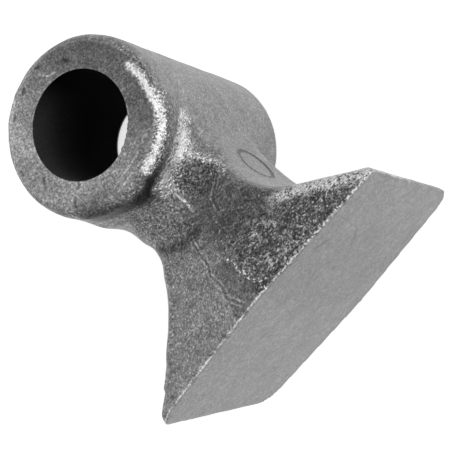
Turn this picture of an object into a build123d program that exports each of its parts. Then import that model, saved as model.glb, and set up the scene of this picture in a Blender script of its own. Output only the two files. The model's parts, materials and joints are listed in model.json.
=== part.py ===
"""Swing hammer for a crusher rotor, drop-forged in one piece.

The hammer lies on one end of its eye, as it does on a bench. The origin is the
middle of the bore, whose axis is Z. The arm points along -Y to the strike face,
and the long side of the head runs along X.
All lengths are in millimetres and all angles in degrees.
"""

import os
from math import acos, atan, atan2, cos, degrees, hypot, radians, sin, tan

from build123d import *

# Eye: the tube that swings on the rotor's pin
bore_diameter = 25.5
eye_diameter = 43.0
eye_length = 66.0
eye_edge_radius = 3.2

# Head: a T that tapers to a thin tip at both ends of its flat strike face. The tip's
# angle is the one between its slanted top and the strike face
axis_to_strike = 60.0
head_length = 74.0
head_width = 68.3
tip_height = 2.0
tip_angle = 39.0
lower_corner_radius = 6.0

# Neck: waisted between eye and head, and thinner than the eye is long
neck_width = 28.6
neck_drop = 28.7
neck_thickness = 40.4
eye_waist_angle = 25.0

# Forging: the dies meet in the plane X = 0 and draw off along X
die_draft = 6.0
ridge_radius = 6.0
edge_radius = 3.5
eye_blend_radius = 7.5

# The head is forged longer than needed, and this much is sawn off below the tips to
# make the strike face
sawn_off = 10.0

# Places that follow from the sizes
bore_radius = bore_diameter / 2
eye_radius = eye_diameter / 2
half_head = head_length / 2
half_neck = neck_width / 2
strike_y = -axis_to_strike
neck_y = -neck_drop
tip_y = strike_y + tip_height

# The arm is first made too long at both ends. Its crown lies well inside the eye, and
# its base is cut off at the strike face. The side outline runs on to a foot far below
# the base, where its draft doesn't reach the head
crown_y = -bore_radius / 3
base_y = strike_y - sawn_off
foot_y = base_y - half_head

# The waist's arc below the neck leaves it along the arm and turns until it can run
# straight to the tip at the tip's angle
head_waist_turn = 90 - tip_angle
tip_reach = half_head - half_neck
tip_fall = neck_y - tip_y
head_waist_radius = tip_fall * sin(radians(head_waist_turn)) - tip_reach * cos(radians(head_waist_turn))
head_waist_radius /= 1 - cos(radians(head_waist_turn))
head_waist_x = half_neck + head_waist_radius

# The waist's arc above the neck leaves it along the arm too, crosses the eye's
# circle at the waist angle and runs on a little inside the eye
eye_waist_radius = (half_neck**2 + neck_drop**2 - eye_radius**2) / (
    2 * (eye_radius * cos(radians(eye_waist_angle)) - half_neck)
)
eye_waist_x = half_neck + eye_waist_radius
eye_distance = hypot(eye_waist_x, neck_drop)
crossing_angle = acos(
    (eye_waist_radius**2 + eye_distance**2 - eye_radius**2) / (2 * eye_waist_radius * eye_distance)
)
run_on = 4.0
eye_waist_turn = degrees(atan2(neck_drop, eye_waist_x) - crossing_angle) + run_on

# Slope of the arm's near and far faces, from the neck out to the strike face
face_slope = (head_width - neck_thickness) / 2 / (axis_to_strike - neck_drop)


def half_thickness(y):
    """Half the arm's thickness on the parting plane, at the place y along the arm."""
    return neck_thickness / 2 + (neck_y - y) * face_slope


def is_outlined(edge):
    """The edge stems from the front outline, from the tips up, and not from a ridge."""
    ends = edge.vertices()
    return min(abs(end.X) for end in ends) > half_neck / 2 and min(end.Y for end in ends) > tip_y - 0.1


# The blend under the eye ends where the eye's rounded ends begin, if it would be
# too large for the wall between them
wall_left = eye_length / 2 - eye_edge_radius - half_thickness(-eye_radius)
blend_reach = tan(radians(90) / 2 - atan(face_slope) / 2)
blend_radius = min(eye_blend_radius, 0.98 * wall_left * blend_reach)

# Arm: neck and head in one, from two outlines at right angles
with BuildPart() as arm:
    # Front outline: one half is drawn, and the parting plane mirrors it
    with BuildSketch():
        with BuildLine():
            eye_waist = CenterArc(
                (eye_waist_x, neck_y), eye_waist_radius, 180 - eye_waist_turn, eye_waist_turn
            )
            head_waist = CenterArc((head_waist_x, neck_y), head_waist_radius, 180, head_waist_turn)
            Line((0, crown_y), eye_waist @ 0)
            Polyline(head_waist @ 1, (half_head, tip_y), (half_head, base_y), (0, base_y))
            mirror(about=Plane.YZ)
        make_face()
    extrude(amount=half_thickness(base_y), both=True)

    # Side outline: it keeps what lies inside it, and draws in towards both tips
    with BuildSketch(Plane.YZ):
        with BuildLine():
            Polyline(
                (crown_y, -half_thickness(crown_y)),
                (crown_y, half_thickness(crown_y)),
                (foot_y, half_thickness(foot_y)),
                (foot_y, -half_thickness(foot_y)),
                close=True,
            )
        make_face()
    extrude(amount=half_head, both=True, taper=die_draft, mode=Mode.INTERSECT)

    # The ridges where the dies met, and the two corners of the strike face below them
    slanted = arm.edges().filter_by(Axis.Z, reverse=True)
    fillet(slanted.filter_by(Plane.YZ).filter_by_position(Axis.X, -half_neck, half_neck), ridge_radius)
    ends = arm.faces().filter_by(Plane.YZ)
    fillet(ends.edges().filter_by(Axis.Z, reverse=True).sort_by(Axis.Z)[:2], lower_corner_radius)

    # The rims of the near and far faces, and the tips: all edges of the front outline
    # down to the tips, which leaves the strike face and its upper corners sharp
    outlined = arm.edges().filter_by(is_outlined)
    tips = outlined.filter_by(Axis.Z).sort_by(Axis.Y)[:2]
    fillet(outlined.filter_by(Axis.Z, reverse=True) + tips, edge_radius)

# Hammer: the eye joined to the arm by a blend, then the strike face and the bore cut
with BuildPart() as hammer:
    Cylinder(eye_radius, eye_length)
    fillet(hammer.edges().filter_by(GeomType.CIRCLE), eye_edge_radius)
    add(arm.part)
    seam = hammer.edges(Select.NEW)
    fillet(seam, blend_radius)
    split(bisect_by=Plane.XZ.offset(axis_to_strike), keep=Keep.BOTTOM)
    Hole(bore_radius)

print("volume", round(hammer.part.volume), "mm3, faces", len(hammer.faces()))

os.makedirs("parts", exist_ok=True)
hammer.part.label = "hammer"
export_step(hammer.part, "parts/hammer.step")
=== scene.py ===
# %% [markdown]
# # A forged hammer for a crusher's rotor
#
# The real object is one piece of steel, hammered hot between two dies. Most of its
# skin is left as the dies and the shot blasting leave it. Only a few places were cut:
# the bore, the two ends of the eye, the strike face and the line where the squeezed
# out steel, the flash, was trimmed off.
#
# The frame already holds the exact solid. This script gives it the forged skin: real
# dents, seams and burrs in the mesh, and a steel whose grain follows each place.

import json
from math import e, radians, tan

import bpy
from mathutils import Matrix, Vector


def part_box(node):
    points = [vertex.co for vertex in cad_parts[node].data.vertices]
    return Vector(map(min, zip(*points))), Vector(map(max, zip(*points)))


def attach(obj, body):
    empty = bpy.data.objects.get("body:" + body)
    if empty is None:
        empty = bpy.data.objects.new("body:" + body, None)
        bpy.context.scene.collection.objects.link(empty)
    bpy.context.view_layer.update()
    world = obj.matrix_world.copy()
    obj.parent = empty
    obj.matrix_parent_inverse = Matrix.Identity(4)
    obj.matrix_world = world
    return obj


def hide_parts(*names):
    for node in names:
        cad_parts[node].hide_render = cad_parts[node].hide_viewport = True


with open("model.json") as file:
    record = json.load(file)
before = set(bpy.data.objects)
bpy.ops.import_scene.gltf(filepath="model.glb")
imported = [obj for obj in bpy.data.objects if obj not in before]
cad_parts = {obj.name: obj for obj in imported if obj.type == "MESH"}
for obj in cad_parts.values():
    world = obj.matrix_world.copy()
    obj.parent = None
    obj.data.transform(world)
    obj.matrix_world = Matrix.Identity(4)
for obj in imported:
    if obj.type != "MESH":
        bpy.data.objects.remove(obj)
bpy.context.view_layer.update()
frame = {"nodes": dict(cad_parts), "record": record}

# %% [markdown]
# ## Sizes
#
# All places below are in millimetres, in the frame's own axes: the bore is the Z axis,
# the arm points along -Y and the head's long side runs along X. Blender works in
# metres, so one factor turns the one into the other. The sizes that the solid has
# come from the frame's record and boxes; a mark on the skin has its own place.

# %% Name the solid's main sizes
MM = 0.001

bore_mount = next(m for m in frame["record"]["mounts"] if m["name"] == "eye_bore")
bore_radius = bore_mount["dims"]["r_mm"]
eye_half = bore_mount["dims"]["length_mm"] / 2
low, high = (Vector(corner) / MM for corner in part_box("hammer"))
eye_radius = high.y
strike_y = low.y
half_head = high.x
floor_z = low.z
print("bore", bore_radius, "eye", eye_radius, eye_half, "strike face at", strike_y)

# %% [markdown]
# ## Node trees as plain sums
#
# Both the shape of the skin and its steel are sums of noise, lines and masks. Written
# as single nodes they would be hard to read, so one small class wraps a node's output
# and lets Python's own operators add the Math nodes. The same class works in a
# geometry tree and in a shader tree, because both know the Math node.

# %% A wire between nodes


class Wire:
    """The output of a node. Sums on it add Math nodes to the same tree."""

    def __init__(self, graph, socket):
        self.graph = graph
        self.socket = socket

    def math(self, operation, *others):
        values = dict(enumerate([self, *others]))
        return self.graph.add("ShaderNodeMath", {"operation": operation}, values)

    def __add__(self, other):
        return self.math("ADD", other)

    __radd__ = __add__

    def __sub__(self, other):
        return self.math("SUBTRACT", other)

    def __rsub__(self, other):
        return self.graph.number(other).math("SUBTRACT", self)

    def __mul__(self, other):
        return self.math("MULTIPLY", other)

    __rmul__ = __mul__

    def __truediv__(self, other):
        return self.math("DIVIDE", other)

    def __pow__(self, other):
        return self.math("POWER", other)

    def __rpow__(self, other):
        return self.graph.number(other).math("POWER", self)

    def __neg__(self):
        return self * -1.0

    def __abs__(self):
        return self.math("ABSOLUTE")

    def lowest(self, other):
        return self.math("MINIMUM", other)

    def highest(self, other):
        return self.math("MAXIMUM", other)

    def above(self, start, end):
        """0 before start, 1 past end, and a smooth slope between. End may be the lower one."""
        sockets = {"Value": self, "From Min": start, "From Max": end}
        return self.graph.add("ShaderNodeMapRange", {"interpolation_type": "SMOOTHSTEP"}, sockets)

    def toward(self, goal, share):
        """This value where share is 0, and the goal where it is 1."""
        return self + share * (goal - self)


print("a wire knows + - * / **, abs, lowest, highest, above and toward")

# %% [markdown]
# ## One method for every other node
#
# A graph holds the tree. Its `add` takes a node's type, its settings and the values or
# wires of its sockets, so every node in this script is made in the same way. The noises
# and distances below are the few patterns that the skin and the steel are built from.

# %% A graph of nodes


class Graph:
    """A node tree, and the one method that adds a node to it."""

    def __init__(self, tree):
        self.tree = tree

    def add(self, kind, settings=None, sockets=None, output=0):
        node = self.tree.nodes.new(kind)
        for name, value in (settings or {}).items():
            setattr(node, name, value)
        for key, value in (sockets or {}).items():
            socket = node.inputs[key]
            if isinstance(value, Wire):
                self.tree.links.new(value.socket, socket)
            else:
                socket.default_value = value
        return Wire(self, node.outputs[output]) if node.outputs else node

    def number(self, value):
        """A plain number as a wire."""
        return self.add("ShaderNodeMath", {"operation": "ADD"}, {0: value, 1: 0.0})

    def split(self, vector):
        """The three parts of a vector."""
        parts = self.add("ShaderNodeSeparateXYZ", None, {0: vector}).socket.node
        return [Wire(self, output) for output in parts.outputs]

    def scaled(self, vector, factor):
        """A vector made longer or shorter."""
        sockets = {0: vector, "Scale": factor}
        return self.add("ShaderNodeVectorMath", {"operation": "SCALE"}, sockets)

    def noise(self, point, size, detail=2.0, roughness=0.5, seed=0.0, distortion=0.0):
        """Noise from about -1 to 1, whose lumps are about `size` millimetres wide."""
        sockets = {
            "Vector": point,
            "W": seed,
            "Scale": 1.0 / size,
            "Detail": detail,
            "Roughness": roughness,
            "Distortion": distortion,
        }
        noise = self.add("ShaderNodeTexNoise", {"noise_dimensions": "4D"}, sockets)
        return (noise - 0.5) * 4.0

    def facets(self, point, size, seed=0.0):
        """A random value from -1 to 1 for each grain, whose grains are `size` wide."""
        settings = {"voronoi_dimensions": "4D"}
        sockets = {"Vector": point, "W": seed, "Scale": 1.0 / size}
        cells = self.add("ShaderNodeTexVoronoi", settings, sockets, output="Color")
        return self.split(cells)[0] * 2.0 - 1.0

    def near_line(self, x, y, start, end):
        """Distance from the line between two places, seen along Z."""
        run = Vector(end) - Vector(start)
        along = ((x - start[0]) * run.x + (y - start[1]) * run.y) * (1.0 / run.length_squared)
        along = along.highest(0.0).lowest(1.0)
        off_x = x - start[0] - along * run.x
        off_y = y - start[1] - along * run.y
        return (off_x * off_x + off_y * off_y) ** 0.5

    def near_paths(self, x, y, *paths):
        """Distance from the nearest of some paths of straight runs, seen along Z."""
        runs = [run for path in paths for run in zip(path, path[1:])]
        nearest = self.near_line(x, y, *runs[0])
        for run in runs[1:]:
            nearest = nearest.lowest(self.near_line(x, y, *run))
        return nearest

    def in_ellipse(self, across, along, centre, half, turn=0.0):
        """How many half sizes a place lies from the centre of a turned ellipse."""
        turned = Matrix.Rotation(radians(turn), 2)
        over, up = across - centre[0], along - centre[1]
        first = (over * turned[0][0] + up * turned[1][0]) * (1.0 / half[0])
        second = (over * turned[0][1] + up * turned[1][1]) * (1.0 / half[1])
        return (first * first + second * second) ** 0.5


print("a graph adds nodes, noises, facets and distances from lines, paths and ellipses")

# %% [markdown]
# ## Where things are
#
# The skin has zones: cut faces are flat and even, the sides that the dies pressed have
# a fine even grain, and the near and far faces, along which the dies drew off, are
# rough and full of marks. One class gives these zones in either kind of tree, so that
# the dents in the mesh and the steel in the shader always agree. The two numbers of
# each `above` are the places where a mask starts and where it is full.

# %% The zones of the skin
CUT_REACH = 0.35
FAN_START = (-33.0, -40.0)


class Zones:
    """Masks from 0 to 1 for the places of the hammer, from a point in millimetres."""

    def __init__(self, graph, point):
        self.graph = graph
        self.x, self.y, self.z = graph.split(point)
        self.radius = (self.x * self.x + self.y * self.y) ** 0.5
        self.bore = self.radius.above(bore_radius + CUT_REACH, bore_radius + 0.15)
        on_end = abs(self.z).above(eye_half - CUT_REACH, eye_half - 0.1)
        self.ring = on_end * self.radius.above(eye_radius + 1.0, eye_radius)
        self.strike = self.y.above(strike_y + CUT_REACH, strike_y + 0.1)
        self.forged = 1.0 - self.bore.highest(self.ring).highest(self.strike)
        self.near = self.z.above(2.0, 8.0)
        # The near end of the eye, with the rounded rim of its collar
        self.near_end = self.z.above(eye_half - 3.0, eye_half - 2.0)
        # The half of the near face on the +X side, between neck and strike face
        self.fan = self.near * self.x.above(0.0, 4.0) * self.y.above(*FAN_START)

    def on_eye_side(self, path, far, near):
        """Closeness to a path of (x, z) places on the side of the eye that faces the neck."""
        side = self.y.above(-11.0, -15.0) * self.radius.above(eye_radius + 4.0, eye_radius + 2.0)
        return self.graph.near_paths(self.x, self.z, path).above(far, near) * side


print("zones: bore, ring, strike face, forged skin, near side, near end, fan")

# %% [markdown]
# ## Marks of the forging
#
# Each forging has marks of its own. This one carries a trimmed patch and a curled edge
# under the eye, a fold across the neck, cracks in the scale, a smeared stripe beside the
# near ridge, and a thin round ridge on the long side that the die left. They are paths
# and ellipses here, in millimetres and seen along the bore, and become height for the
# mesh and bright or dark steel for the shader.

# %% Places of the marks
CURL = [(1.8, -22.0), (1.2, -24.8), (1.5, -27.5), (1.0, -30.2)]
PATCH = {"centre": (6.9, -25.2), "half": (4.7, 4.2), "turn": -25.0}
PATCH_RIM = [(10.9, -21.6), (12.0, -24.8), (12.3, -28.6)]
FOLD = [(-12.0, -29.0), (-9.0, -31.4), (-5.5, -33.6), (-1.4, -34.5)]
SHORT_CRACK = [(10.7, -28.5), (6.6, -31.7), (6.1, -36.0)]
LONG_CRACK = [
    *[(-3.4, -34.8), (-3.7, -39.9), (-3.4, -43.5), (-4.7, -46.0)],
    *[(-3.8, -50.0), (-4.2, -53.4), (-2.3, -57.3)],
]
STRIPE_SMEAR = [(0.6, -46.5), (2.2, -52.5), (4.6, -59.6)]
ROUND_MARK = {"centre": (-26.3, -0.3), "half": (5.0, 6.9)}
print("the long crack runs through", len(LONG_CRACK), "places")

# %% Masks of the marks


class Marks:
    """Masks from 0 to 1 for the marks, from the zones of the same point."""

    def __init__(self, graph, zones, wander):
        x, y = zones.x + wander, zones.y
        near = zones.near * zones.forged
        self.patch = graph.in_ellipse(x, y, **PATCH).above(1.1, 0.85) * near
        self.rim = graph.near_paths(x, y, PATCH_RIM).above(1.5, 0.3) * near
        self.curl = graph.near_paths(x, y, CURL).above(0.38, 0.08) * near
        self.fold = graph.near_paths(x, y, FOLD).above(2.4, 0.0) * near
        crack = graph.near_paths(x, y, SHORT_CRACK, LONG_CRACK)
        self.crack = crack.above(0.35, 0.05) * near
        self.crack_lip = crack.above(1.0, 0.5) * crack.above(0.2, 0.5) * near
        # The stripe runs down to the strike face between two slanting lines
        one_side = (zones.x - zones.y * 0.1).above(0.4, 1.4)
        other_side = (zones.x + zones.y * 0.3).above(-12.6, -13.6)
        self.stripe = one_side * other_side * y.above(-45.0, -47.0) * near
        self.smear = graph.near_paths(x, y, STRIPE_SMEAR).above(1.0, 0.1) * near
        size = graph.in_ellipse(y, zones.z, **ROUND_MARK)
        on_long_side = zones.x.above(8.0, 10.0)
        self.round = abs(size - 1.0).above(0.1, 0.03) * on_long_side
        # Painted shade: a dark line just inside the round ridge
        self.round_shade = abs(size - 0.96).above(0.14, 0.06) * on_long_side
        self.burr = y.above(strike_y + 0.9, strike_y + 0.35) * near


print("marks: patch, curl, fold, two cracks, stripe, round mark and burr")

# %% [markdown]
# ## Grain of the steel
#
# Shot blasting dents the scale with thousands of tiny craters. From near, single facets
# flash; from further off, they form clusters and slow patches. So the grain is a sum of
# noises from a third of a millimetre to nine millimetres wide, each with its own seed.

# %% Noises of the grain


class Grain:
    """Noises from about -1 to 1, and masks of pits, threads and swathes from 0 to 1."""

    def __init__(self, graph, point):
        self.facets = graph.facets(point, 0.36, seed=10.0)
        self.fine = graph.noise(point, 0.65, detail=2.0, roughness=0.8, seed=11.0)
        self.medium = graph.noise(point, 1.9, detail=3.0, roughness=0.7, seed=12.0)
        self.broad = graph.noise(point, 9.0, detail=3.0, seed=13.0)
        self.slow = graph.noise(point, 4.5, detail=3.0, roughness=0.6, seed=17.0)
        self.pits = graph.noise(point, 2.6, detail=2.0, seed=14.0).above(0.95, 1.2)
        # Thin bright threads, and the broad swathes in which they lie
        thread = graph.noise(point, 2.4, detail=2.0, roughness=0.6, seed=15.0, distortion=0.5)
        self.threads = (1.0 - abs(thread) * 1.7).above(0.6, 0.95)
        self.swathes = graph.noise(point, 5.0, detail=2.0, seed=16.0).above(-0.3, 0.7)


print("grain: facets of 0.36 mm up to slow patches of 9 mm")

# %% [markdown]
# ## What the shader knows of a point
#
# The steel is worked out at each point from its place, in millimetres, and from one
# mask that the mesh carries along: how rough the face is. That mask needs the direction
# in which the plain face looks, which the dented mesh no longer shows.

# %% A point of steel


class SteelPoint:
    """The zones, marks and grain at a shaded point, and the regions that they bound."""

    def __init__(self, graph):
        self.graph = graph
        place = graph.add("ShaderNodeTexCoord", output="Object")
        point = graph.scaled(place, 1.0 / MM)
        rough = {"attribute_name": "rough"}
        self.rough = graph.add("ShaderNodeAttribute", rough, output="Fac")
        self.grain = Grain(graph, point)
        self.zones = zones = Zones(graph, point)
        self.marks = Marks(graph, zones, self.grain.medium * 0.35)
        self.fan = zones.fan * self.rough
        # The collar's rim, on the side of the arm and +X
        lit_side = zones.x.above(0.5, 5.0) * zones.y.above(6.0, 0.0)
        self.collar = self.rough * (1.0 - zones.ring) * zones.z.above(27.5, 29.5) * lit_side
        # The near face of the neck, on the -X side
        neck_side = zones.x.above(2.0, -2.0) * zones.y.above(-36.0, -32.0)
        self.neck_side = self.rough * zones.near * zones.forged * neck_side


print("regions of rough steel: fan, collar and one side of the neck")

# %% [markdown]
# ## One grey for each finish
#
# Forged steel is one grey, but each way of finishing it scatters light differently.
# The near face keeps dark scale, the sides are blasted paler, and the cut ring and
# strike face are even. Each finish has a grey and a strength of grain, and the masks
# lead from one to the next. Over them, shade and light are painted in: the fan is
# darker, the -X side of the neck a little lighter, the ring darker toward +X, and a
# painted highlight runs round the bore's edge.

# %% Greys and grain of the zones
GREY = {"side": 0.24, "near": 0.175, "ring": 0.265, "strike": 0.233}
RUGGED = {"side": 0.66, "near": 0.95, "ring": 0.8, "strike": 0.52}
BORE_EDGE_HIGHLIGHT = 0.12


def zone_steel(at):
    """The grey and the strength of its grain, before any marks."""
    zones, x, y = at.zones, at.zones.x, at.zones.y
    grey, rugged = (
        table["side"] + at.rough * (table["near"] - table["side"]) for table in (GREY, RUGGED)
    )
    # Painted shade makes the fan darker, and painted light makes the near face of the neck on the
    # -X side a little lighter
    grey = grey * (1.0 - at.fan * 0.45) * (1.0 + at.neck_side * 0.1)
    rugged = rugged + at.fan * (0.1 + y.above(-39.0, -46.0) * 0.45)
    rugged = rugged + at.neck_side * 0.35 + at.collar * 0.6 + at.marks.patch * 0.6

    # Painted shade: the ring gets darker toward +X
    shaded = ((x + y * 0.3) * (1.0 / eye_radius)).above(-0.5, 0.9)
    grey = grey.toward(GREY["ring"] * (1.0 - shaded * 0.6), zones.ring)
    rugged = rugged.toward(RUGGED["ring"], zones.ring)
    grey = grey.toward(GREY["strike"], zones.strike)
    rugged = rugged.toward(RUGGED["strike"], zones.strike)

    # A painted highlight: a fine bright line runs round the bore's edge, which the cutter left
    # sharp
    edge = zones.radius.above(bore_radius + 0.55, bore_radius + 0.2) * zones.z.above(32.0, 32.8)
    return grey + edge * BORE_EDGE_HIGHLIGHT, rugged


print("greys:", GREY)

# %% [markdown]
# ## Painted highlights, and painted shade in the notch
#
# The lamp's highlights are painted into the colour: on the collar's rim, and on the +X
# side on the shoulder under it, where the eye runs into the neck. On the -X side, the
# notch behind the collar is painted black as shade. The painted highlights have a solid
# core and a broken border, so their grain is strongest at the border and fades toward
# the middle.

# %% Painted highlights and shade behind the collar
GLARE = [
    *[(18.2, -1.0), (18.2, -5.0), (17.2, -9.4), (15.3, -13.7)],
    *[(12.6, -16.9), (7.9, -19.1), (3.4, -20.0)],
]
PAINTED_HIGHLIGHT_BAND = [(14.7, 22.0), (9.7, 23.6), (4.1, 25.1), (1.8, 24.5)]
PAINTED_HIGHLIGHT_CORE = [(12.5, 22.3), (9.7, 23.4), (7.9, 23.8), (5.8, 24.2), (3.4, 25.0)]
NOTCH_PAINTED_SHADE = [(-13.2, 30.0), (-8.3, 29.4), (-4.5, 27.6), (0.0, 27.2), (2.4, 28.4)]


def painted_highlights_and_notch_shade(at, grey, rugged):
    """The same grey and grain, with painted shade in the notch and painted highlights on the
    collar's rim and the shoulder.
    """
    zones, y = at.zones, at.zones.y
    from_glare = at.graph.near_paths(zones.x + at.grain.medium * 0.2, y, GLARE)
    glare = from_glare.above(1.5, 0.4) * zones.near_end
    glare_core = from_glare.above(0.8, 0.2) * y.above(2.0, -6.0) * zones.near_end
    core = zones.on_eye_side(PAINTED_HIGHLIGHT_CORE, 1.9, 0.7).highest(glare_core)
    band = zones.on_eye_side(PAINTED_HIGHLIGHT_BAND, 4.0, 1.6)
    painted_highlight = (band * 0.8).highest(glare).highest(core)
    notch = zones.on_eye_side(NOTCH_PAINTED_SHADE, 4.6, 1.3)
    # Painted shade darkens the notch, and painted highlights lighten the collar's rim and the
    # shoulder
    grey = (grey * (1.0 - notch * 0.88)).toward(0.52 + core * 0.38, painted_highlight)
    return grey, rugged + painted_highlight * 0.7 - core * 0.9


print("glare, band, core and notch: four paths")

# %% [markdown]
# ## Marks in the steel
#
# Creases and pits hold dark scale, and torn or rubbed edges are bare metal. Inside the
# round ridge a line of shade is painted. The dark marks scale the grey down, and the
# bright ones lead it to one light grey. All of them wander with the grain, so that none
# looks drawn.

# %% Dark and bright marks
BARE_METAL = 0.6
RING_SCRATCHES = [
    [(-5.4, -17.0), (0.0, -16.7), (5.2, -16.4)],
    [(-4.5, -18.3), (0.6, -18.2), (4.7, -18.2)],
    [(1.4, 16.9), (2.9, 14.5), (4.8, 13.6)],
]
RING_PITS = [
    [(2.1, 18.6), (2.9, 18.0)],
    [(8.3, 13.7), (8.8, 12.4)],
    [(-3.6, 17.9), (-4.6, 17.2)],
    [(-9.9, 15.3), (-10.6, 14.9)],
    [(-18.2, 5.1), (-18.6, 4.2)],
    [(-15.3, -1.1), (-16.0, -1.9)],
    [(-9.9, -9.2), (-10.4, -9.8)],
    [(-13.0, -10.8), (-14.4, -12.0)],
]
STRIKE_NICKS = [
    [(15.6, 27.0), (18.8, 23.0)],
    [(20.2, 9.9), (22.2, 12.0)],
    [(19.0, 9.8), (20.4, 8.4)],
    [(5.8, 13.2), (6.2, 12.6)],
    [(-9.2, -5.8), (-8.8, -6.3)],
    [(10.4, 6.9), (11.4, 5.8)],
    [(-8.8, 12.4), (-11.0, 14.0)],
]


def marked(at, grey):
    """The same grey with creases, torn edges, scratches, pits and nicks."""
    graph, zones, marks, grain = at.graph, at.zones, at.marks, at.grain
    x, y, z = zones.x, zones.y, zones.z
    fine, medium = grain.fine, grain.medium

    dark = (marks.crack * fine.above(-0.6, 0.6)).highest(marks.fold) * 0.6
    dark = dark.highest(marks.patch * 0.45)
    # The stripe is darker, and painted shade lines the inside of the round ridge
    dark = dark.highest(marks.stripe * 0.35).highest(marks.round_shade * 0.65)
    grey = grey * (1.0 - dark)

    bright = marks.curl.highest(marks.crack_lip * 0.28)
    bright = bright.highest(marks.rim * fine.above(-0.6, 0.8) * 0.8)
    bright = bright.highest(marks.smear * (fine + grain.facets * 0.5).above(0.1, 0.9) * 0.7)
    bright = bright.highest(marks.burr * medium.above(-0.9, 0.5))
    scratch = graph.near_paths(x + medium * 0.15, y, *RING_SCRATCHES).above(0.35, 0.1)
    bright = bright.highest(scratch * zones.near_end * 0.4)
    grey = grey.toward(BARE_METAL, bright)

    pit = graph.near_paths(x + fine * 0.3, y + medium * 0.3, *RING_PITS).above(0.6, 0.2)
    nick = graph.near_paths(x + fine * 0.3, z + medium * 0.4, *STRIKE_NICKS).above(0.55, 0.1)
    grey = grey * (1.0 - pit * zones.near_end * 0.6) * (1.0 - nick * zones.strike * 0.4)

    # The strike face is a little darker in a stretch beside its middle
    dull = zones.strike * x.above(-8.0, 8.0) * x.above(32.0, 16.0)
    return grey * (1.0 - dull * 0.08) * (1.0 - grain.pits * (0.25 + zones.ring * 0.35))


print("ring:", len(RING_PITS), "pits; strike face:", len(STRIKE_NICKS), "nicks")

# %% [markdown]
# ## Painted glints
#
# Where the near face was torn as the dies parted, small facets lie at all angles and
# some mirror the lamp. These glints are painted into the colour as light grey spots,
# and the same spots are made a little glossier. They are rare on plain rough steel,
# thick on the collar and the fan, in threads near the strike face, and thickest along
# the fan's rounded rim.

# %% Painted glints of torn steel
PAINTED_GLINT_GREY = 0.75
BRIGHTEST = 0.92
RIM_PAINTED_GLINTS = [
    *[(16.0, -44.8), (20.4, -46.9), (24.4, -50.0)],
    *[(28.3, -53.0), (32.0, -56.2), (35.5, -59.0)],
]


def painted_glinting(at):
    """How much painted glint a point gets, from 0 to 1."""
    zones, grain = at.zones, at.grain
    facets, fine, medium = grain.facets, grain.fine, grain.medium
    crowd = at.rough * 0.15 + at.fan * 0.3 + at.collar * 0.5
    painted_glints = (fine + facets * 0.7).above(0.7, 1.3) * crowd

    by_strike = at.fan * zones.y.above(-42.0, -49.0)
    threads = grain.threads * by_strike * grain.swathes * (facets + fine).above(-1.0, 0.3)

    from_rim = at.graph.near_paths(zones.x, zones.y + medium * 0.6, RIM_PAINTED_GLINTS)
    on_rim = from_rim.above(2.3, 0.4) * zones.fan * zones.forged * zones.x.above(14.0, 20.0)
    rim = on_rim * (facets * 0.6 + fine * 0.8 + medium * 0.5).above(-0.8, 0.5) * 1.1
    return painted_glints.highest(threads).highest(rim)


print("glints: crowd, threads and rim")

# %% [markdown]
# ## The bore
#
# The bore's wall is painted nearly black as shade. Light only reaches the wall near its
# mouth, on the side that looks at the lamp, and there a little painted light makes it
# lighter. At the far end a reamer has cut the wall bright, and there it mirrors whatever
# lies under the hammer.

# %% Steel of the bore
BORE_PAINTED_SHADE = 0.002
MOUTH_PAINTED_LIGHT = 0.05
REAMED_GREY = 0.92
BORE_ROUGHNESS = 0.9
REAMED_ROUGHNESS = 0.06
MOUTH_DEPTHS = (0.36, 0.05)
REAMED_DEPTHS = (0.555, 0.575)


def bored(at, grey, roughness):
    """The same grey and roughness, with painted shade and light in the bore and its reamed end.
    """
    zones = at.zones
    depth = (eye_half - zones.z) * (1.0 / (2.0 * eye_half))
    mouth = depth.above(*MOUTH_DEPTHS) * zones.x.above(4.0, -9.0)
    reamed = zones.bore * depth.above(*REAMED_DEPTHS)
    # Painted shade makes the wall nearly black, and painted light lightens it near the mouth on
    # the lamp's side
    painted_bore_grey = BORE_PAINTED_SHADE + mouth * (MOUTH_PAINTED_LIGHT + at.grain.facets * 0.01)
    grey = grey.toward(painted_bore_grey, zones.bore).toward(REAMED_GREY, reamed)
    roughness = roughness.toward(BORE_ROUGHNESS, zones.bore).toward(REAMED_ROUGHNESS, reamed)
    return grey, roughness


print("reamed from z", round(eye_half * (1.0 - 2.0 * REAMED_DEPTHS[1]), 1), "mm to the far end")

# %% [markdown]
# ## The steel as one material
#
# Now the parts are put together. The grain is an exponent and not a sum, because grains
# that mirror the light are many times brighter than the rest. The same grain tilts the
# normal through a Bump node, so that it also moves with the light.

# %% Steel material
METALLIC = 0.75
BLASTED_ROUGHNESS = 0.42


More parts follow.
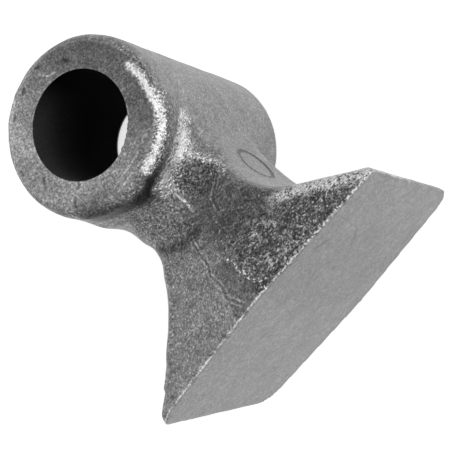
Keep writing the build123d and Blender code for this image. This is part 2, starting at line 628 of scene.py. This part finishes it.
def steel():
    """Forged steel whose grain, colour and gloss change from zone to zone."""
    material = bpy.data.materials.new("forged steel")
    material.use_nodes = True
    material.node_tree.nodes.clear()
    graph = Graph(material.node_tree)
    at = SteelPoint(graph)
    zones, grain = at.zones, at.grain
    facets, fine, medium = grain.facets, grain.fine, grain.medium

    grey, rugged = painted_highlights_and_notch_shade(at, *zone_steel(at))
    grey = marked(at, grey)
    speckle = facets * 0.6 + fine * 0.7 + medium * 0.3
    patches = (grain.broad + grain.slow) * (0.1 + zones.ring * 0.12)
    grey = grey * e ** (speckle * rugged + patches)
    painted_glints = painted_glinting(at)
    # Painted glints: light grey spots where facets would mirror the lamp
    grey = grey.toward(PAINTED_GLINT_GREY, painted_glints).lowest(BRIGHTEST)
    roughness = BLASTED_ROUGHNESS + fine * 0.05 - at.rough * 0.06 - painted_glints * 0.1
    grey, roughness = bored(at, grey, roughness)

    heights = facets * 0.02 + fine * 0.09 + medium * at.rough * 0.14
    heights = heights * rugged * (1.0 - zones.bore)
    bump = graph.add("ShaderNodeBump", None, {"Strength": 1.0, "Distance": MM, "Height": heights})
    colour = graph.add("ShaderNodeCombineColor", None, {0: grey, 1: grey, 2: grey})
    metal = METALLIC + zones.bore * (1.0 - METALLIC)
    sockets = {"Base Color": colour, "Metallic": metal, "Roughness": roughness, "Normal": bump}
    surface = graph.add("ShaderNodeBsdfPrincipled", None, sockets)
    graph.add("ShaderNodeOutputMaterial", None, {"Surface": surface})
    return material


forged_steel = steel()
print("steel:", len(forged_steel.node_tree.nodes), "nodes")

# %% [markdown]
# ## A close, even mesh to hammer on
#
# The frame's mesh has long triangles on its flat faces, which can't take a dent.
# Subdividing them would keep them long. A voxel remesh instead wraps the solid in small
# even squares, and Shrinkwrap then pulls each corner back onto the exact surface, so
# that the bore and the faces keep their size. Between two flat faces the squares leave
# an edge worn by about half a square, as on the real steel.

# %% Wrap the solid in small squares
import bmesh

SQUARE = 0.62
WELD = 0.001

solid = frame["nodes"]["hammer"]
merged = bmesh.new()
merged.from_mesh(solid.data)
bmesh.ops.remove_doubles(merged, verts=merged.verts, dist=WELD * MM)
forging_mesh = bpy.data.meshes.new("hammer_forging")
merged.to_mesh(forging_mesh)
merged.free()
forging = bpy.data.objects.new("hammer_forging", forging_mesh)
bpy.context.scene.collection.objects.link(forging)

wrap = forging.modifiers.new("even squares", "REMESH")
wrap.mode = "VOXEL"
wrap.voxel_size = SQUARE * MM
pull = forging.modifiers.new("onto the solid", "SHRINKWRAP")
pull.target = solid
pull.wrap_method = "NEAREST_SURFACEPOINT"
print("solid:", len(forging_mesh.polygons), "faces, to be wrapped in squares of", SQUARE, "mm")

# %% [markdown]
# ## Heights of the forged skin
#
# A drop forging is never quite flat. Scale that sat in the die leaves shallow dents,
# the rough near and far faces carry deeper pits, and the steel that folded over itself
# shows as creases. Each of these is a height in millimetres, and their sum moves the
# mesh along its normals. The sizes are inputs of the tree, so that one can turn each
# kind of mark up or down by itself.

# %% Dents, pits, lumps and marks
SKIN_SIZES = {
    "Dents": 0.12,
    "Pits": 0.13,
    "Lumps": 0.15,
    "Creases": 0.30,
    "Trimmed": 0.35,
    "Round mark": 0.25,
    "Burr": 0.30,
    "Full rim": 0.8,
    "Rounded rim": 2.0,
    "Filling": 1.6,
}


def mark_heights(graph, point, zones, rough, size):
    """Height of the dents, pits, lumps, marks and the burr."""
    marks = Marks(graph, zones, graph.noise(point, 4.0, seed=4.0) * 0.4)
    height = graph.noise(point, 9.0, detail=2.0, seed=1.0) * size["Dents"] * zones.forged
    height += graph.noise(point, 3.2, detail=3.0, seed=2.0) * size["Pits"] * rough
    lumps = graph.noise(point, 1.9, detail=2.0, roughness=0.6, seed=3.0)
    height += lumps * zones.fan * rough * size["Lumps"]

    # Trimmed places lie lower and are smoother, lips stand up, folds and cracks sink in
    height = height * (1.0 - marks.stripe * 0.8)
    height -= (marks.stripe * 0.6).highest(marks.patch) * size["Trimmed"]
    lips = marks.curl.highest(marks.rim).highest(marks.crack_lip * 0.4)
    height += (lips - marks.fold.highest(marks.crack * 0.6)) * size["Creases"]
    height += marks.round * zones.forged * size["Round mark"]

    # The burr that cutting the strike face pushed up along its near edge
    burr = zones.near * zones.y.above(strike_y + 1.3, strike_y + 0.3) * zones.forged
    burr = burr * graph.noise(point, 5.0, detail=2.0, seed=5.0).above(-0.8, 1.6)
    return height + burr * size["Burr"]


print("sizes of the skin in millimetres:", SKIN_SIZES)

# %% [markdown]
# ## Where the steel filled the dies unevenly
#
# A real forging is not as even as its drawing. On the -X side this one is fuller along
# the rim of the near face, rounder at the tip, and the notch under the collar is partly
# filled. These are heights too, with wider masks.

# %% Uneven filling
FILL_LINE = [(-16.5, -14.5), (-12.6, -20.5)]
FILL_RADIUS = 6.5


def filling_heights(graph, zones, tilt, size):
    """Height of the fuller and rounder places on the -X side."""
    rim = tilt.above(0.1, 0.45) * tilt.above(0.97, 0.75) * zones.near * zones.forged
    beyond = -zones.x
    full = beyond.above(7.0, 12.0) * beyond.above(29.0, 18.0) * zones.y.above(-30.0, -36.0)
    fill = graph.near_paths(zones.x, zones.y, FILL_LINE).above(FILL_RADIUS, 0.0)
    fill = fill * zones.z.above(30.0, 19.0) * zones.z.above(4.0, 13.0)
    height = rim * full * size["Full rim"] + fill * size["Filling"]
    return height - rim * beyond.above(25.0, 34.0) * size["Rounded rim"]


print("notch filled along", FILL_LINE)

# %% [markdown]
# ## One worn corner
#
# The corner of the strike face that struck most is worn round. A height along the normal
# can't do that, because the corner moves within the face. So its square is pressed into
# a quarter disc: each place slides toward the disc's centre until the square's side
# becomes the arc.

# %% The worn corner
WORN_CORNER = 6.0
TIP_BELOW_RIDGE = 4.0


def worn_inwards(graph, zones):
    """The move in metres that turns one corner's square into a quarter disc."""
    over = (-zones.x - (half_head - WORN_CORNER)).highest(0.0)
    up = (zones.z - (high.z - TIP_BELOW_RIDGE - WORN_CORNER)).highest(0.0)
    worn = over.highest(up) / ((over * over + up * up) ** 0.5).highest(0.001) - 1.0
    worn = worn * over.above(0.0, 0.5) * up.above(0.0, 0.5)
    return graph.add("ShaderNodeCombineXYZ", None, {"X": worn * over * -MM, "Z": worn * up * MM})


print("corner worn round by", WORN_CORNER, "mm")

# %% [markdown]
# ## The skin as one geometry tree
#
# A geometry tree is the right tool for the skin: it has the same noise as the shader,
# and the mask of the rough faces can be kept on the mesh for the steel to read. The
# rough faces are those that look along the bore, and a wedge under the collar.

# %% Mask of the rough faces
LOOKS_ALONG_BORE = (0.52, 0.75)
WEDGE_START = (-15.8, 16.3)
WEDGE_SLOPE = 0.434


def rough_faces(zones, tilt):
    """Mask of the rough faces. Tilt is how much a face looks along the bore."""
    wedge = (zones.z - WEDGE_START[1]) * WEDGE_SLOPE + WEDGE_START[0] - zones.y
    wedge = wedge.above(-0.6, 0.6) * zones.z.above(14.0, 17.0) * zones.y.above(-26.0, -23.0)
    return tilt.above(*LOOKS_ALONG_BORE).highest(wedge) * zones.forged


print("rough: tilt above", LOOKS_ALONG_BORE[1], "and a wedge from y, z", WEDGE_START)

# %% The geometry tree


def skin_tree():
    """Geometry nodes that keep the rough mask on the mesh and move it by the heights."""
    tree = bpy.data.node_groups.new("forged skin", "GeometryNodeTree")
    graph = Graph(tree)
    tree.interface.new_socket("Geometry", in_out="INPUT", socket_type="NodeSocketGeometry")
    for name in SKIN_SIZES:
        tree.interface.new_socket(name, in_out="INPUT", socket_type="NodeSocketFloat")
    tree.interface.new_socket("Steel", in_out="INPUT", socket_type="NodeSocketMaterial")
    tree.interface.new_socket("Geometry", in_out="OUTPUT", socket_type="NodeSocketGeometry")
    entry = tree.nodes.new("NodeGroupInput")
    size = {output.name: Wire(graph, output) for output in entry.outputs}

    point = graph.scaled(graph.add("GeometryNodeInputPosition"), 1.0 / MM)
    normal = graph.add("GeometryNodeInputNormal")
    tilt = abs(graph.split(normal)[2])
    zones = Zones(graph, point)
    rough = rough_faces(zones, tilt)
    height = mark_heights(graph, point, zones, rough, size)
    height += filling_heights(graph, zones, tilt, size)
    sockets = {0: graph.scaled(normal, height * MM), 1: worn_inwards(graph, zones)}
    offset = graph.add("ShaderNodeVectorMath", {"operation": "ADD"}, sockets)

    sockets = {"Geometry": size["Geometry"], "Name": "rough", "Value": rough}
    kept = graph.add("GeometryNodeStoreNamedAttribute", {"data_type": "FLOAT"}, sockets)
    moved = graph.add("GeometryNodeSetPosition", None, {"Geometry": kept, "Offset": offset})
    real = graph.add("GeometryNodeRealizeInstances", None, {"Geometry": moved})
    sockets = {"Geometry": real, "Material": size["Steel"]}
    finished = graph.add("GeometryNodeSetMaterial", None, sockets)
    leave = tree.nodes.new("NodeGroupOutput")
    tree.links.new(finished.socket, leave.inputs[0])
    return tree


skin = forging.modifiers.new("forged skin", "NODES")
skin.node_group = skin_tree()
for item in skin.node_group.interface.items_tree:
    if item.in_out == "INPUT" and item.name in SKIN_SIZES:
        skin[item.identifier] = SKIN_SIZES[item.name]
    if item.name == "Steel":
        skin[item.identifier] = forged_steel
print("skin:", len(skin.node_group.nodes), "nodes")

# %% [markdown]
# ## A plain mesh
#
# The modifiers have done their work. The evaluated object gives the result as a plain
# mesh, and the modifiers go. The mesh is shaded smooth, apart from the edges where two
# faces meet sharply. It then takes the solid's place on its body.

# %% Make the skin a plain mesh
SHARP_FROM = 48.0

bpy.context.view_layer.update()
evaluated = forging.evaluated_get(bpy.context.evaluated_depsgraph_get())
plain_mesh = bpy.data.meshes.new_from_object(evaluated)
forging.modifiers.clear()
forging.data = plain_mesh
plain_mesh.name = "hammer_forging"
plain_mesh.shade_smooth()
plain_mesh.set_sharp_from_angle(angle=radians(SHARP_FROM))
print("forging:", len(plain_mesh.polygons), "faces,", len(plain_mesh.vertices), "corners")
print("materials:", [m.name for m in plain_mesh.materials])

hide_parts("hammer")
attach(forging, "root")

# %% [markdown]
# ## Studio
#
# The photograph is a plain catalogue picture: white all round, soft light from the
# upper right. The floor shows white to the camera and to reflections, but still takes
# the hammer's shadow.

# %% White floor
FLOOR_HALF = 2.0
FLOOR_PAINT = (0.8, 0.8, 0.8, 1.0)
FLOOR_GLOW = 0.75
WHITE = (1.0, 1.0, 1.0, 1.0)


def white_where_seen(graph, shown, lit):
    """White to the camera and in reflections, and the other shader for all other light."""
    path = graph.add("ShaderNodeLightPath").socket.node
    seen = Wire(graph, path.outputs["Is Camera Ray"])
    seen = seen.highest(Wire(graph, path.outputs["Is Glossy Ray"]))
    seen = seen.highest(Wire(graph, path.outputs["Is Transmission Ray"]))
    return graph.add("ShaderNodeMixShader", None, {0: seen, 1: lit, 2: shown})


def floor_material():
    """Matt white that glows for the camera and in reflections."""
    material = bpy.data.materials.new("white floor")
    material.use_nodes = True
    material.node_tree.nodes.clear()
    graph = Graph(material.node_tree)
    matt = graph.add("ShaderNodeBsdfDiffuse", None, {"Color": FLOOR_PAINT})
    glow = graph.add("ShaderNodeEmission", None, {"Color": WHITE, "Strength": FLOOR_GLOW})
    bright = graph.add("ShaderNodeAddShader", None, {0: matt, 1: glow})
    surface = white_where_seen(graph, bright, matt)
    graph.add("ShaderNodeOutputMaterial", None, {"Surface": surface})
    return material


floor_mesh = bpy.data.meshes.new("floor")
signs = [(-1, -1), (1, -1), (1, 1), (-1, 1)]
corners = [(sx * FLOOR_HALF, sy * FLOOR_HALF, floor_z * MM) for sx, sy in signs]
floor_mesh.from_pydata(corners, [], [(0, 1, 2, 3)])
floor = bpy.data.objects.new("floor", floor_mesh)
floor.data.materials.append(floor_material())
bpy.context.scene.collection.objects.link(floor)
print("floor at", round(floor_z, 2), "mm")

# %% [markdown]
# ## Backdrop
#
# Behind and above the hammer the picture is plain white too. The world gives that
# white to the camera and to reflections, and a much weaker even light to the steel,
# because a white world at full strength would wash out the grain.

# %% World
EVEN_LIGHT = 0.35

world = bpy.data.worlds.new("studio")
world.use_nodes = True
world.node_tree.nodes.clear()
sky = Graph(world.node_tree)
dim = sky.add("ShaderNodeBackground", None, {"Color": WHITE, "Strength": EVEN_LIGHT})
white = sky.add("ShaderNodeBackground", None, {"Color": WHITE, "Strength": 1.0})
sky.add("ShaderNodeOutputWorld", None, {"Surface": white_where_seen(sky, white, dim)})
bpy.context.scene.world = world
print("world: white where seen, and even light of", EVEN_LIGHT)

# %% [markdown]
# ## Lamps
#
# A large key lamp stands low on the +X side of the strike face, so that its light rakes
# over the grain and the ring keeps a soft shade. A weaker one behind the eye, on the
# other side, opens the shadows on the neck. Both are square area lamps, because a point
# lamp would draw hard shadows.

# %% Soft lamps


def soft_lamp(name, place, aim, size, power):
    """A square lamp in millimetres that looks at a place on the hammer."""
    lamp = bpy.data.lights.new(name, "AREA")
    lamp.size = size * MM
    lamp.energy = power
    holder = bpy.data.objects.new(name, lamp)
    holder.location = Vector(place) * MM
    holder.rotation_euler = (Vector(aim) - Vector(place)).to_track_quat("-Z", "Y").to_euler()
    bpy.context.scene.collection.objects.link(holder)
    print(name, "lamp of", power, "watts at", place)


soft_lamp("key", place=(330, -250, 150), aim=(0, -20, 0), size=120, power=0.6)
soft_lamp("behind", place=(-200, 330, 110), aim=(0, -40, 20), size=160, power=0.25)

# %% [markdown]
# ## Camera
#
# The photograph was taken from above the strike face with a long lens. Its place, its
# aim and its roll were worked out from the outlines in the picture, so the hammer falls
# on the same pixels as there.

# %% Camera
CAMERA_PLACE = (68.73, -128.69, 244.96)
CAMERA_AIM = (-1.87, -30.47, 0.0)
CAMERA_ROLL = -83.79
FIELD_OF_VIEW = 22.954

camera_data = bpy.data.cameras.new("camera")
camera_data.sensor_width = 36.0
camera_data.lens = camera_data.sensor_width / 2 / tan(radians(FIELD_OF_VIEW / 2))
camera_data.clip_start = 0.01
camera = bpy.data.objects.new("camera", camera_data)
sight = Vector(CAMERA_AIM) - Vector(CAMERA_PLACE)
turn = sight.to_track_quat("-Z", "Y").to_matrix() @ Matrix.Rotation(radians(CAMERA_ROLL), 3, "Z")
camera.matrix_world = Matrix.Translation(Vector(CAMERA_PLACE) * MM) @ turn.to_4x4()
bpy.context.scene.collection.objects.link(camera)
bpy.context.scene.camera = camera
bpy.context.scene.view_settings.view_transform = "Standard"
print("camera with a lens of", round(camera_data.lens, 1), "mm")
